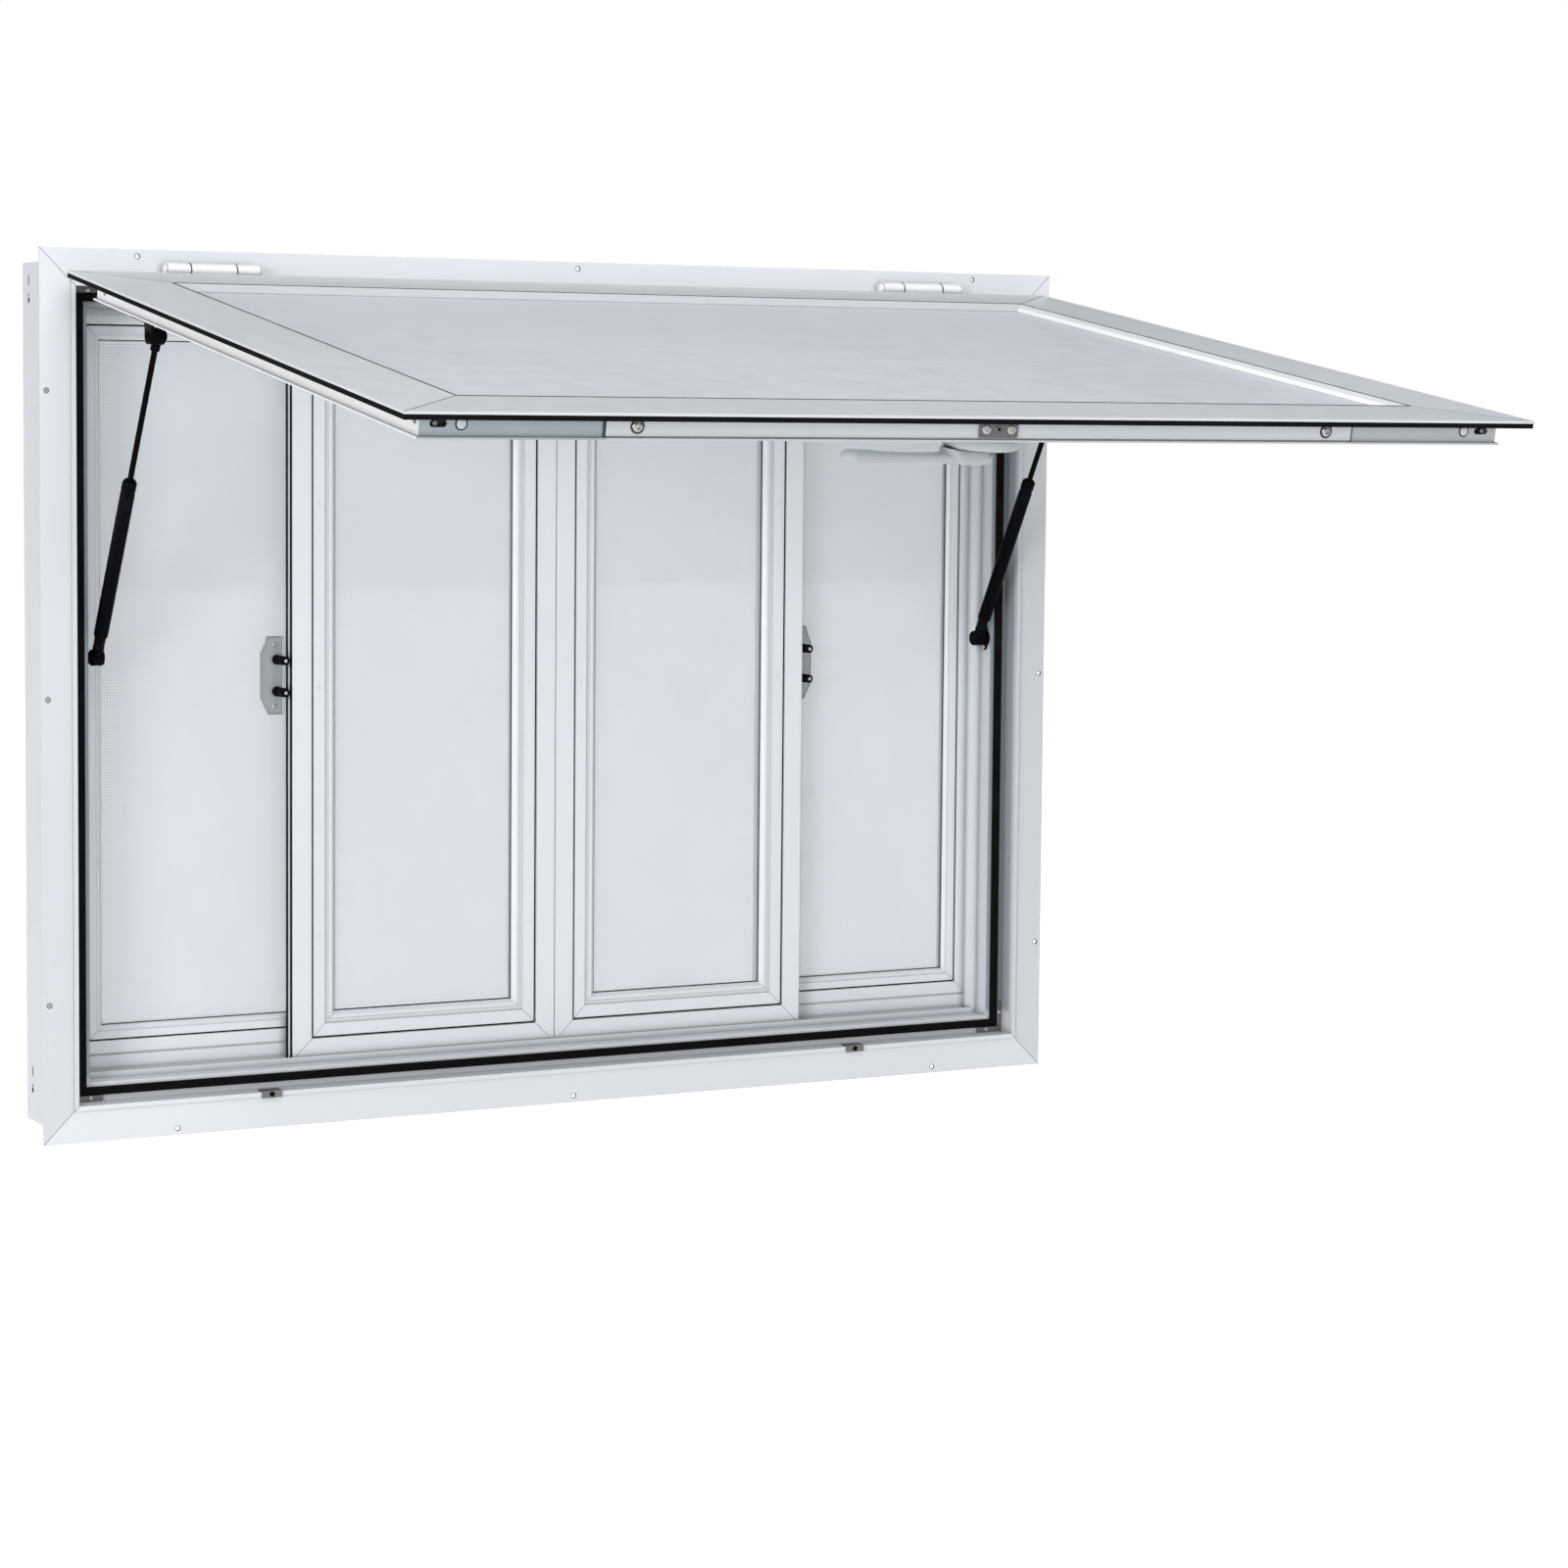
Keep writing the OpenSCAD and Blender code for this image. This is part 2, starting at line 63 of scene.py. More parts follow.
# ---------------------------------------------------------------- node materials
class Graph:
    def __init__(self, name):
        self.m = bpy.data.materials.new(name)
        self.m.use_nodes = True
        self.t = self.m.node_tree
        self.t.nodes.clear()
        self.out = self.t.nodes.new("ShaderNodeOutputMaterial")
        self.p = self.t.nodes.new("ShaderNodeBsdfPrincipled")
        self.t.links.new(self.p.outputs[0], self.out.inputs[0])
        self.co = self.t.nodes.new("ShaderNodeTexCoord")

    def link(self, a, b):
        self.t.links.new(a, b)

    def noise(self, scale, detail=2.0, rough=0.5, stretch=None):
        n = self.t.nodes.new("ShaderNodeTexNoise")
        n.inputs["Scale"].default_value = scale
        n.inputs["Detail"].default_value = detail
        n.inputs["Roughness"].default_value = rough
        if stretch:
            m = self.t.nodes.new("ShaderNodeMapping")
            m.inputs["Scale"].default_value = stretch
            self.link(self.co.outputs["Object"], m.inputs["Vector"])
            self.link(m.outputs[0], n.inputs["Vector"])
        else:
            self.link(self.co.outputs["Object"], n.inputs["Vector"])
        return n.outputs["Fac"]

    def spread(self, value, a, b, lo, hi):
        n = self.t.nodes.new("ShaderNodeMapRange")
        n.inputs["From Min"].default_value = a
        n.inputs["From Max"].default_value = b
        n.inputs["To Min"].default_value = lo
        n.inputs["To Max"].default_value = hi
        self.link(value, n.inputs["Value"])
        return n.outputs[0]

    def math(self, op, a, b):
        n = self.t.nodes.new("ShaderNodeMath")
        n.operation = op
        for k, v in enumerate((a, b)):
            if isinstance(v, (int, float)):
                n.inputs[k].default_value = v
            else:
                self.link(v, n.inputs[k])
        return n.outputs[0]

    def mix(self, fac, a, b, kind="MIX"):
        n = self.t.nodes.new("ShaderNodeMix")
        n.data_type = "RGBA"
        n.blend_type = kind
        for k, v in ((0, fac), (6, a), (7, b)):
            if isinstance(v, (int, float)):
                n.inputs[k].default_value = v
            elif isinstance(v, tuple):
                n.inputs[k].default_value = (v[0], v[1], v[2], 1)
            else:
                self.link(v, n.inputs[k])
        return n.outputs[2]

    def edge(self, radius, samples=3):
        """A softened normal, and a mask that is 1 on a sharp edge."""
        b = self.t.nodes.new("ShaderNodeBevel")
        b.samples = samples
        b.inputs["Radius"].default_value = radius
        g = self.t.nodes.new("ShaderNodeNewGeometry")
        d = self.t.nodes.new("ShaderNodeVectorMath")
        d.operation = "DOT_PRODUCT"
        self.link(b.outputs[0], d.inputs[0])
        self.link(g.outputs["True Normal"], d.inputs[1])
        return b.outputs[0], self.spread(d.outputs["Value"], 1.0, 0.9, 0.0, 1.0)

    def bump(self, height, strength, distance, normal=None):
        n = self.t.nodes.new("ShaderNodeBump")
        n.inputs["Strength"].default_value = strength
        n.inputs["Distance"].default_value = distance
        self.link(height, n.inputs["Height"])
        if normal is not None:
            self.link(normal, n.inputs["Normal"])
        return n.outputs[0]

    def shadowed(self, distance, samples=3):
        n = self.t.nodes.new("ShaderNodeAmbientOcclusion")
        n.samples = samples
        n.inputs["Distance"].default_value = distance
        return n.outputs["AO"]


def powder_coat(name, base, worn_and_lit_edge, rough, drift=0.03, corner_shade=0.7, edge=0.0007, recess_shade=None, depth_shade_or_light=None, ends=False):
    """Coated aluminium: fine orange peel, slow tone drift, painted shade in the corners, and edges painted lighter,
    partly as abrasion and partly as a painted highlight.
    """
    g = Graph(name)
    slow = g.noise(2.6, 3, 0.55)
    speck = g.noise(1400, 2, 0.6)
    dark = tuple(c * (1 - drift) for c in base)
    light = tuple(min(1, c * (1 + drift)) for c in base)
    tone = g.mix(g.spread(slow, 0.3, 0.7, 0, 1), dark, light)
    tone = g.mix(g.spread(speck, 0.35, 0.75, 0.0, 0.22), tone, tuple(c * 0.93 for c in base))
    soft, mask = g.edge(edge)
    # edges painted lighter through a noisy mask: partly abrasion, partly a painted highlight
    edge_rub_and_highlight = g.math("MULTIPLY", mask, g.spread(g.noise(60, 3, 0.6), 0.35, 0.7, 0.15, 0.8))
    tone = g.mix(edge_rub_and_highlight, tone, worn_and_lit_edge)
    if recess_shade:
        # painted shade: the recess past the flange is mixed towards a much darker tone than the outside face
        x = g.t.nodes.new("ShaderNodeSeparateXYZ")
        g.link(g.co.outputs["Object"], x.inputs[0])
        y = x.outputs["Y"]
        deep = g.math("MULTIPLY", g.spread(y, 0.0005, 0.006, 0, 1), g.spread(y, 0.0232, 0.0240, 1, 0))
        deep = g.math("MULTIPLY", deep, g.spread(x.outputs["Z"], 0.046, 0.054, 0, 1))
        tone = g.mix(g.math("MULTIPLY", deep, 0.8), tone, recess_shade)
    if depth_shade_or_light:
        # painted light and shade on a door rail, by depth below its face sheet: the bottom rail's channel is painted
        # darker as shade, the side rails' deeper sides lighter as painted light
        along_depth = (OPEN.to_3x3() @ Vector((0, 1, 0))).normalized()
        start = (OPEN @ Vector((0, FACE_Y, 0))).dot(along_depth) / 1000
        d = g.t.nodes.new("ShaderNodeVectorMath")
        d.operation = "DOT_PRODUCT"
        g.link(g.co.outputs["Object"], d.inputs[0])
        d.inputs[1].default_value = along_depth
        deep = g.spread(d.outputs["Value"], start + 0.0026, start + 0.0034, 0, 1)
        # the bottom rail's painted shade lies only past the ends of the cover strip, within 40 mm of the door's lower
        # edge, and is stronger on the left
        if ends:
            x = g.t.nodes.new("ShaderNodeSeparateXYZ")
            g.link(g.co.outputs["Object"], x.inputs[0])
            away = g.spread(g.math("ABSOLUTE", x.outputs["X"], 0.0), 0.384, 0.387, 0, 1)
            deep = g.math("MULTIPLY", deep, g.math("MULTIPLY", away, g.spread(x.outputs["X"], -0.2, 0.2, 1.0, 0.3)))
            u = g.t.nodes.new("ShaderNodeVectorMath")
            u.operation = "DOT_PRODUCT"
            g.link(g.co.outputs["Object"], u.inputs[0])
            u.inputs[1].default_value = OPEN.to_3x3() @ Vector((0, 0, 1))
            low = (OPEN @ Vector((0, FACE_Y, DOOR_BOT))).dot(OPEN.to_3x3() @ Vector((0, 0, 1))) / 1000
            deep = g.math("MULTIPLY", deep, g.spread(u.outputs["Value"], low + 0.040, low + 0.042, 1, 0))
        tone = g.mix(deep, tone, depth_shade_or_light)
    # painted shade: corners, creases and recesses are mixed towards near black by ambient occlusion
    ao = g.spread(g.shadowed(0.009), 0.15, 0.97, corner_shade, 0.0)
    tone = g.mix(ao, tone, (0.045, 0.052, 0.060))
    g.link(tone, g.p.inputs["Base Color"])
    g.link(g.spread(g.noise(35, 3, 0.6), 0.3, 0.7, rough - 0.05, rough + 0.06), g.p.inputs["Roughness"])
    g.p.inputs["Specular IOR Level"].default_value = 0.45
    g.link(g.bump(g.noise(950, 2, 0.5), 0.16, 0.0002, soft), g.p.inputs["Normal"])
    return g.m


def rubber(name, base, rough=0.62):
    g = Graph(name)
    tone = g.mix(g.spread(g.noise(40, 4, 0.6), 0.35, 0.75, 0, 0.6), base, tuple(c * 2.4 for c in base))
    soft, mask = g.edge(0.0006)
    # edges painted slightly lighter: a painted highlight
    tone = g.mix(g.math("MULTIPLY", mask, 0.25), tone, tuple(c * 3 + 0.006 for c in base))
    g.link(tone, g.p.inputs["Base Color"])
    g.link(g.spread(g.noise(120, 3, 0.6), 0.3, 0.7, rough - 0.08, rough + 0.1), g.p.inputs["Roughness"])
    g.p.inputs["Specular IOR Level"].default_value = 0.05
    g.link(g.bump(g.noise(1600, 3, 0.6), 0.3, 0.0002, soft), g.p.inputs["Normal"])
    return g.m


def metal(name, base, rough, stretch=(1, 1, 14), metallic=1.0, painted_edge_tone=None):
    """Plated or brushed steel, the brush lines along one axis."""
    g = Graph(name)
    lines = g.noise(320, 3, 0.6, stretch)
    blot = g.noise(55, 4, 0.6)
    tone = g.mix(g.spread(blot, 0.35, 0.7, 0, 1), tuple(c * 0.78 for c in base), base)
    tone = g.mix(g.spread(lines, 0.4, 0.65, 0, 0.35), tone, tuple(min(1, c * 1.25) for c in base))
    soft, mask = g.edge(0.0004)
    # edges painted lighter as a highlight, unless another edge colour is given
    tone = g.mix(g.math("MULTIPLY", mask, 0.6), tone, painted_edge_tone or tuple(min(1, c * 1.6 + 0.05) for c in base))
    g.link(tone, g.p.inputs["Base Color"])
    g.p.inputs["Metallic"].default_value = metallic
    g.link(g.spread(lines, 0.3, 0.7, rough - 0.08, rough + 0.12), g.p.inputs["Roughness"])
    g.link(g.bump(lines, 0.22, 0.0002, soft), g.p.inputs["Normal"])
    return g.m


def gloss_black(name, base, rough, coat=0.25, black_edge_abrasion_and_highlight=(0.035, 0.035, 0.037)):
    g = Graph(name)
    tone = g.mix(g.spread(g.noise(25, 4, 0.6), 0.35, 0.7, 0, 0.8), base, tuple(c * 1.9 for c in base))
    soft, mask = g.edge(0.0005)
    # edges painted lighter through a noisy mask: partly abrasion, partly a painted highlight
    edge_rub_and_highlight = g.math("MULTIPLY", mask, g.spread(g.noise(180, 3, 0.6), 0.4, 0.7, 0.1, 0.9))
    g.link(g.mix(edge_rub_and_highlight, tone, black_edge_abrasion_and_highlight), g.p.inputs["Base Color"])
    g.p.inputs["Coat Weight"].default_value = coat
    g.p.inputs["Coat Roughness"].default_value = 0.12
    g.p.inputs["Specular IOR Level"].default_value = 0.03
    g.link(g.spread(g.noise(90, 3, 0.6), 0.3, 0.7, rough - 0.06, rough + 0.1), g.p.inputs["Roughness"])
    g.link(g.bump(g.noise(1100, 2, 0.5), 0.12, 0.0002, soft), g.p.inputs["Normal"])
    return g.m


def clear(name, base, rough, alpha, streak=0.05):
    """A see-through sheet with a faint haze that varies over it."""
    g = Graph(name)
    haze = g.noise(9, 4, 0.6)
    g.link(g.mix(g.spread(haze, 0.3, 0.7, 0, 1), base, tuple(min(1, c * 1.05) for c in base)), g.p.inputs["Base Color"])
    g.link(g.spread(haze, 0.3, 0.7, rough, rough + streak), g.p.inputs["Roughness"])
    g.p.inputs["Alpha"].default_value = alpha
    g.p.inputs["IOR"].default_value = 1.5
    g.link(g.bump(g.noise(18, 2, 0.5), 0.04, 0.0004), g.p.inputs["Normal"])
    return g.m


MAT = {
    "white_frame": powder_coat("coat_frame", (0.640, 0.662, 0.698), (0.90, 0.905, 0.91), 0.38, recess_shade=(0.27, 0.30, 0.335)),
    "white_door": powder_coat("coat_door", (0.730, 0.762, 0.800), (0.88, 0.89, 0.90), 0.40),
    "white_sash": powder_coat("coat_sash", (0.790, 0.822, 0.860), (0.93, 0.935, 0.94), 0.34, corner_shade=0.80),
    "hinge": powder_coat("coat_hinge", (0.760, 0.770, 0.785), (0.93, 0.93, 0.93), 0.30, edge=0.0009),
    "handle": powder_coat("coat_handle", (0.460, 0.490, 0.520), (0.80, 0.81, 0.82), 0.22, edge=0.0005),
    "white_panel": powder_coat("coat_panel", (0.680, 0.725, 0.775), (0.88, 0.89, 0.90), 0.36),
    "white_rail": powder_coat("coat_rail", (0.610, 0.638, 0.672), (0.90, 0.905, 0.91), 0.38, depth_shade_or_light=(0.44, 0.50, 0.55), ends=True),
    "white_side": powder_coat("coat_side", (0.660, 0.685, 0.715), (0.90, 0.905, 0.91), 0.38, depth_shade_or_light=(0.88, 0.89, 0.90)),
    # a darker copy of the coat for track_left and track_head: painted shade
    "track_coat_shaded": powder_coat("coat_track_shaded", (0.46, 0.50, 0.54), (0.80, 0.81, 0.82), 0.36, corner_shade=0.85),
    "white_top": powder_coat("coat_top", (0.570, 0.600, 0.635), (0.88, 0.89, 0.90), 0.40),
    "white_foot": powder_coat("coat_foot", (0.735, 0.760, 0.795), (0.92, 0.925, 0.93), 0.38, corner_shade=0.5),
    "white_sill": powder_coat("coat_sill", (0.760, 0.785, 0.820), (0.90, 0.905, 0.91), 0.36),
    # the strike's edges painted near black: a painted shadow round the plate
    "strike": metal("steel_strike", (0.22, 0.22, 0.22), 0.34, (1, 1, 1), painted_edge_tone=(0.05, 0.05, 0.05)),
    "rubber": rubber("rubber_black", (0.0035, 0.0035, 0.004)),
    "joint": rubber("joint_sealer", (0.05, 0.052, 0.056), 0.7),
    "steel": metal("steel_pressed", (0.27, 0.26, 0.245), 0.36),
    "zinc": metal("steel_zinc", (0.66, 0.65, 0.63), 0.24, (1, 1, 1)),
    "glass": clear("glass_pane", (0.80, 0.85, 0.92), 0.05, 0.36, 0.03),
    "screen": rubber("mesh_grey", (0.15, 0.155, 0.17), 0.55),
    "clear_plastic": clear("plastic_clear", (0.42, 0.45, 0.47), 0.12, 0.45, 0.08),
    "black_plastic": gloss_black("plastic_black", (0.002, 0.002, 0.0024), 0.42, 0.0),
    "black_metal": gloss_black("paint_black", (0.0014, 0.0014, 0.0018), 0.30, 0.0),
}

NODE_MAT = {}
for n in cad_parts:
    if n in ("frame_gasket", "awning_gasket", "sash_edge_seals"):
        k = "rubber"
    elif n == "frame_sill":
        k = "white_foot"
    elif n.startswith("frame_"):
        k = "white_frame"
    # painted light and shade: the four tracks are one extrusion, but track_left and track_head take a darker copy of
    # the coat as painted shade, and track_right and track_sill lighter copies as painted light
    elif n == "track_sill":
        k = "white_sill"
    elif n in ("track_left", "track_head"):
        k = "track_coat_shaded"
    elif n == "track_right":
        k = "white_sash"
    elif n.startswith("sash_"):
        k = "white_sash"
    elif n.startswith("glass_"):
        k = "glass"
    elif n.startswith("screen_"):
        k = "screen"
    elif n == "finger_plates":
        k = "clear_plastic"
    elif n == "turn_knobs":
        k = "black_plastic"
    elif n.startswith("hinge_"):
        k = "hinge"
    elif n in ("corner_keys", "sill_keepers", "latch_plate", "awning_bolts"):
        k = "steel"
    elif n.startswith("strut_"):
        k = "black_metal"
    elif n.startswith("handle_"):
        k = "handle"
    elif n == "awning_rail_top":
        k = "white_top"
    elif n == "awning_panel":
        k = "white_panel"
    elif n == "awning_rail_bottom":
        k = "white_rail"
    elif n in ("awning_rail_left", "awning_rail_right"):
        k = "white_side"
    else:
        k = "white_door"
    NODE_MAT[n] = k
    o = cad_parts[n]
    o.data.materials.clear()
    o.data.materials.append(MAT[k])


# ---------------------------------------------------------------- mesh helpers, all in mm
class Shape:
    """Collects closed solids; points are in mm."""

    def __init__(self):
        self.v, self.f, self.s = [], [], []

    def add(self, verts, faces, matrix=STAY, smooth=False):
        k = len(self.v)
        self.v += [matrix @ Vector(p) for p in verts]
        self.f += [[i + k for i in f] for f in faces]
        self.s += [smooth] * len(faces)

    def box(self, a, b, matrix=STAY):
        (x0, y0, z0), (x1, y1, z1) = a, b
        v = [(x0, y0, z0), (x1, y0, z0), (x1, y1, z0), (x0, y1, z0), (x0, y0, z1), (x1, y0, z1), (x1, y1, z1), (x0, y1, z1)]
        self.add(v, [(3, 2, 1, 0), (4, 5, 6, 7), (0, 1, 5, 4), (1, 2, 6, 5), (2, 3, 7, 6), (3, 0, 4, 7)], matrix)

    def soft_box(self, a, b, r, matrix=STAY, n=3):
        """A block with its upright edges rounded and its two faces chamfered; a and b are corners, +Z up."""
        (x0, y0, z0), (x1, y1, z1) = a, b
        c = min(r * 0.45, (z1 - z0) * 0.3)

        def loop(inset, z):
            out = []
            for cx, cy, t0 in ((x1 - r, y1 - r, 0), (x0 + r, y1 - r, 90), (x0 + r, y0 + r, 180), (x1 - r, y0 + r, 270)):
                for i in range(n + 1):
                    t = math.radians(t0 + 90 * i / n)
                    out.append((cx + (r - inset) * math.cos(t), cy + (r - inset) * math.sin(t), z))
            return out
        self.stack([loop(c, z0), loop(0, z0 + c), loop(0, z1 - c), loop(c, z1)], matrix)

    def stack(self, loops, matrix=STAY, smooth=False):
        m = len(loops[0])
        v = [p for l in loops for p in l]
        f = [tuple(reversed(range(m)))]
        for i in range(len(loops) - 1):
            for j in range(m):
                a, b = i * m + j, i * m + (j + 1) % m
                f.append((a, b, b + m, a + m))
        f.append(tuple(range(len(v) - m, len(v))))
        self.add(v, f, matrix, smooth)

    def lathe(self, profile, matrix=STAY, n=32, closed=False):
        """profile: (radius, height) pairs about Z. A closed profile makes a ring."""
        v, f, rows = [], [], []
        for r, z in profile:
            if r < 1e-6 and not closed:
                rows.append([len(v)])
                v.append((0, 0, z))
            else:
                rows.append(list(range(len(v), len(v) + n)))
                v += [(r * math.cos(2 * math.pi * i / n), r * math.sin(2 * math.pi * i / n), z) for i in range(n)]
        pairs = list(zip(rows, rows[1:])) + ([(rows[-1], rows[0])] if closed else [])
        for a, b in pairs:
            for i in range(n):
                j = (i + 1) % n
                if len(a) == 1 and len(b) == 1:
                    continue
                if len(a) == 1:
                    f.append((a[0], b[j], b[i]))
                elif len(b) == 1:
                    f.append((a[i], a[j], b[0]))
                else:
                    f.append((a[i], a[j], b[j], b[i]))
        if not closed:
            if len(rows[0]) > 1:
                f.append(tuple(reversed(rows[0])))
            if len(rows[-1]) > 1:
                f.append(tuple(rows[-1]))
        self.add(v, f, matrix, True)

    def screw(self, r, h, matrix=STAY, drive="cross", n=32, rings=10):
        """A domed head, its drive recess sunk in; the seat is at z = 0."""
        def top(rr, t):
            z = h * (1 - 0.55 * (rr / r) ** 2)
            x, y = rr * math.cos(t), rr * math.sin(t)
            if drive == "cross":
                inside = (abs(x) < 0.17 * r and abs(y) < 0.62 * r) or (abs(y) < 0.17 * r and abs(x) < 0.62 * r)
            elif drive == "hex":
                inside = max(abs(x * math.cos(a) + y * math.sin(a)) for a in (0, math.pi / 3, 2 * math.pi / 3)) < 0.46 * r
            else:
                inside = abs(x) < 0.14 * r and abs(y) < 0.8 * r
            return z - (0.62 * h if inside else 0)
        v, f = [(0, 0, top(0, 0))], []
        for i in range(1, rings + 1):
            for j in range(n):
                t = 2 * math.pi * j / n
                rr = r * i / rings
                v.append((rr * math.cos(t), rr * math.sin(t), top(rr, t) if i < rings else h * 0.40))
        for j in range(n):
            f.append((0, 1 + j, 1 + (j + 1) % n))
        for i in range(rings - 1):
            for j in range(n):
                a, b = 1 + i * n + j, 1 + i * n + (j + 1) % n
                f.append((a, a + n, b + n, b))
        k = len(v)
        v += [(r * math.cos(2 * math.pi * j / n), r * math.sin(2 * math.pi * j / n), -0.3) for j in range(n)]
        last = 1 + (rings - 1) * n
        for j in range(n):
            f.append((last + j, k + j, k + (j + 1) % n, last + (j + 1) % n))
        f.append(tuple(reversed(range(k, k + n))))
        self.add(v, f, matrix)

    def strip(self, a, b, normal, width, depth, proud=0.06):
        """A hairline bar laid along a surface from a to b."""
        a, b, nn = Vector(a), Vector(b), Vector(normal).normalized()
        along = (b - a).normalized()
        side = along.cross(nn) * (width / 2)
        v = []
        for p in (a, b):
            for s, d in ((-1, -depth), (1, -depth), (1, proud), (-1, proud)):
                v.append(tuple(p + side * s + nn * d))
        self.add(v, [(0, 1, 2, 3), (7, 6, 5, 4), (0, 4, 5, 1), (1, 5, 6, 2), (2, 6, 7, 3), (3, 7, 4, 0)])

    def build(self, name, mat, body, angle=35.0, replaces=()):
        me = bpy.data.meshes.new(name)
        me.from_pydata([tuple(c / 1000 for c in p) for p in self.v], [], self.f)
        bm = bmesh.new()
        bm.from_mesh(me)
        bmesh.ops.recalc_face_normals(bm, faces=bm.faces)
        bm.to_mesh(me)
        bm.free()
        me.polygons.foreach_set("use_smooth", self.s)
        me.update()
        o = bpy.data.objects.new(name, me)
        bpy.context.scene.collection.objects.link(o)
        if any(self.s):
            bpy.context.view_layer.objects.active = o
            me.set_sharp_from_angle(angle=math.radians(angle))
        me.materials.append(MAT[mat])
        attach(o, body)
        if replaces:
            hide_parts(*replaces)
        return o


def along(origin, axis, up=None):
    """A matrix whose Z lies along axis, at origin."""
    z = Vector(axis).normalized()
    x = Vector(up) if up else (Vector((1, 0, 0)) if abs(z.x) < 0.9 else Vector((0, 1, 0)))
    x = (x - z * x.dot(z)).normalized()
    y = z.cross(x)
    m = Matrix((x, y, z)).transposed().to_4x4()
    m.translation = Vector(origin)
    return m


# ---------------------------------------------------------------- woven insect screens
def screen(node):
    lo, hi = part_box(node)
    lo, hi = lo * 1000, hi * 1000
    s = Shape()
    mid = (lo.y + hi.y) / 2
    w, pitch = 0.34, 3.1
    nx, nz = int((hi.x - lo.x - 0.6) / pitch), int((hi.z - lo.z - 0.6) / pitch)
    ox, oz = (hi.x - lo.x - nx * pitch) / 2, (hi.z - lo.z - nz * pitch) / 2
    for i in range(nx + 1):
        x = lo.x + ox + i * pitch
        s.box((x - w, mid - 0.30, lo.z + 0.1), (x + w, mid - 0.02, hi.z - 0.1))
    for i in range(nz + 1):
        z = lo.z + oz + i * pitch
        s.box((lo.x + 0.1, mid + 0.02, z - w), (hi.x - 0.1, mid + 0.30, z + w))
    s.build("mesh_" + node, "screen", "frame", replaces=(node,))


for n in ("screen_front_left", "screen_front_right", "screen_rear_left", "screen_rear_right"):
    screen(n)


# ---------------------------------------------------------------- hairlines where members are mitred
def mitre(s, xa, za, dx, dz, parts, matrix=STAY, width=0.42):
    """Hairlines along a 45 degree corner from (xa, za); parts: (inset a, inset b, y a, y b)."""
    for a, b, ya, yb in parts:
        p = matrix @ Vector((xa + dx * a, ya, za + dz * a))
        q = matrix @ Vector((xa + dx * b, yb, za + dz * b))
        run = Vector((dx * (b - a), yb - ya, dz * (b - a)))
        side = Vector((dx, 0, -dz))
        nn = run.cross(side)
        if nn.y > 0:
            nn = -nn
        s.strip(p, q, matrix.to_3x3() @ nn, width, 0.3)


s = Shape()
for sx in (-1, 1):
    for za, dz in ((ZB, 1), (ZT, -1)):
        mitre(s, sx * FW / 2, za, -sx, dz, [(0.3, 33, -2, -2), (33, 37.7, -3.2, -3.2)])
for xa, xb in ((-310, -0.4), (0.4, 310)):
    for x, dx in ((xa, 1), (xb, -1)):
        for z, dz in ((47, 1), (839, -1)):
            mitre(s, x, z, dx, dz, [(0.3, 21.8, 48, 48), (24.6, 37.4, 48.8, 48.8), (42.9, 45.9, 50, 50)], width=0.34)
for xa, xb in ((-543, -270), (270, 543)):
    for x, dx in ((xa, 1), (xb, -1)):
        for z, dz in ((67, 1), (839, -1)):
            mitre(s, x, z, dx, dz, [(0.3, 11.8, 69, 69), (14.2, 21.3, 69.8, 69.8)], width=0.34)
s.build("mitre_lines_frame", "joint", "frame")

s = Shape()
for sx in (-1, 1):
    for za, dz in ((DOOR_BOT, 1), (DOOR_TOP, -1)):
        mitre(s, sx * DOOR_W / 2, za, -sx, dz, [(0.3, 82.8, FACE_Y, FACE_Y), (83.2, 96.7, FACE_Y + 0.12, FACE_Y + 5.9)], OPEN, 1.0)
# a dark strip along the inner edge of the flat border: painted shade of the step there
xi, zb, zt = DOOR_W / 2 - 82.4, DOOR_BOT + 82.4, DOOR_TOP - 82.4
for a, b in (((-xi, zb), (xi, zb)), ((xi, zb), (xi, zt)), ((xi, zt), (-xi, zt)), ((-xi, zt), (-xi, zb))):
    s.strip(OPEN @ Vector((a[0], FACE_Y, a[1])), OPEN @ Vector((b[0], FACE_Y, b[1])), OPEN.to_3x3() @ Vector((0, -1, 0)), 0.9, 0.5, 0.55)
s.build("mitre_and_shade_lines_door", "joint", "awning")

# glazing seals round the panes, and dark strips in the grooves beside the beads as painted shade
s = Shape()


def around(xa, xb, za, zb, inset, y, width):
    a, b, c, d = xa + inset, xb - inset, za + inset, zb - inset
    for p, q in (((a, c), (b, c)), ((b, c), (b, d)), ((b, d), (a, d)), ((a, d), (a, c))):
        s.strip((p[0], y, p[1]), (q[0], y, q[1]), (0, -1, 0), width, 0.3)


for xa, xb in ((-310, -0.4), (0.4, 310)):
    around(xa, xb, 47, 839, 23.25, 49.8, 1.5)
    # painted shade: a dark strip laid in the groove beside each bead
    around(xa, xb, 47, 839, STILE + 0.5, 54.9, 0.9)
for xa, xb in ((-543, -270), (270, 543)):
    around(xa, xb, 67, 839, 13.0, 70.6, 1.3)
    # painted shade: a dark strip laid in the groove beside each bead
    around(xa, xb, 67, 839, REAR_STILE + 0.5, 75.9, 0.9)
s.build("glazing_seals_and_groove_shade", "rubber", "frame")

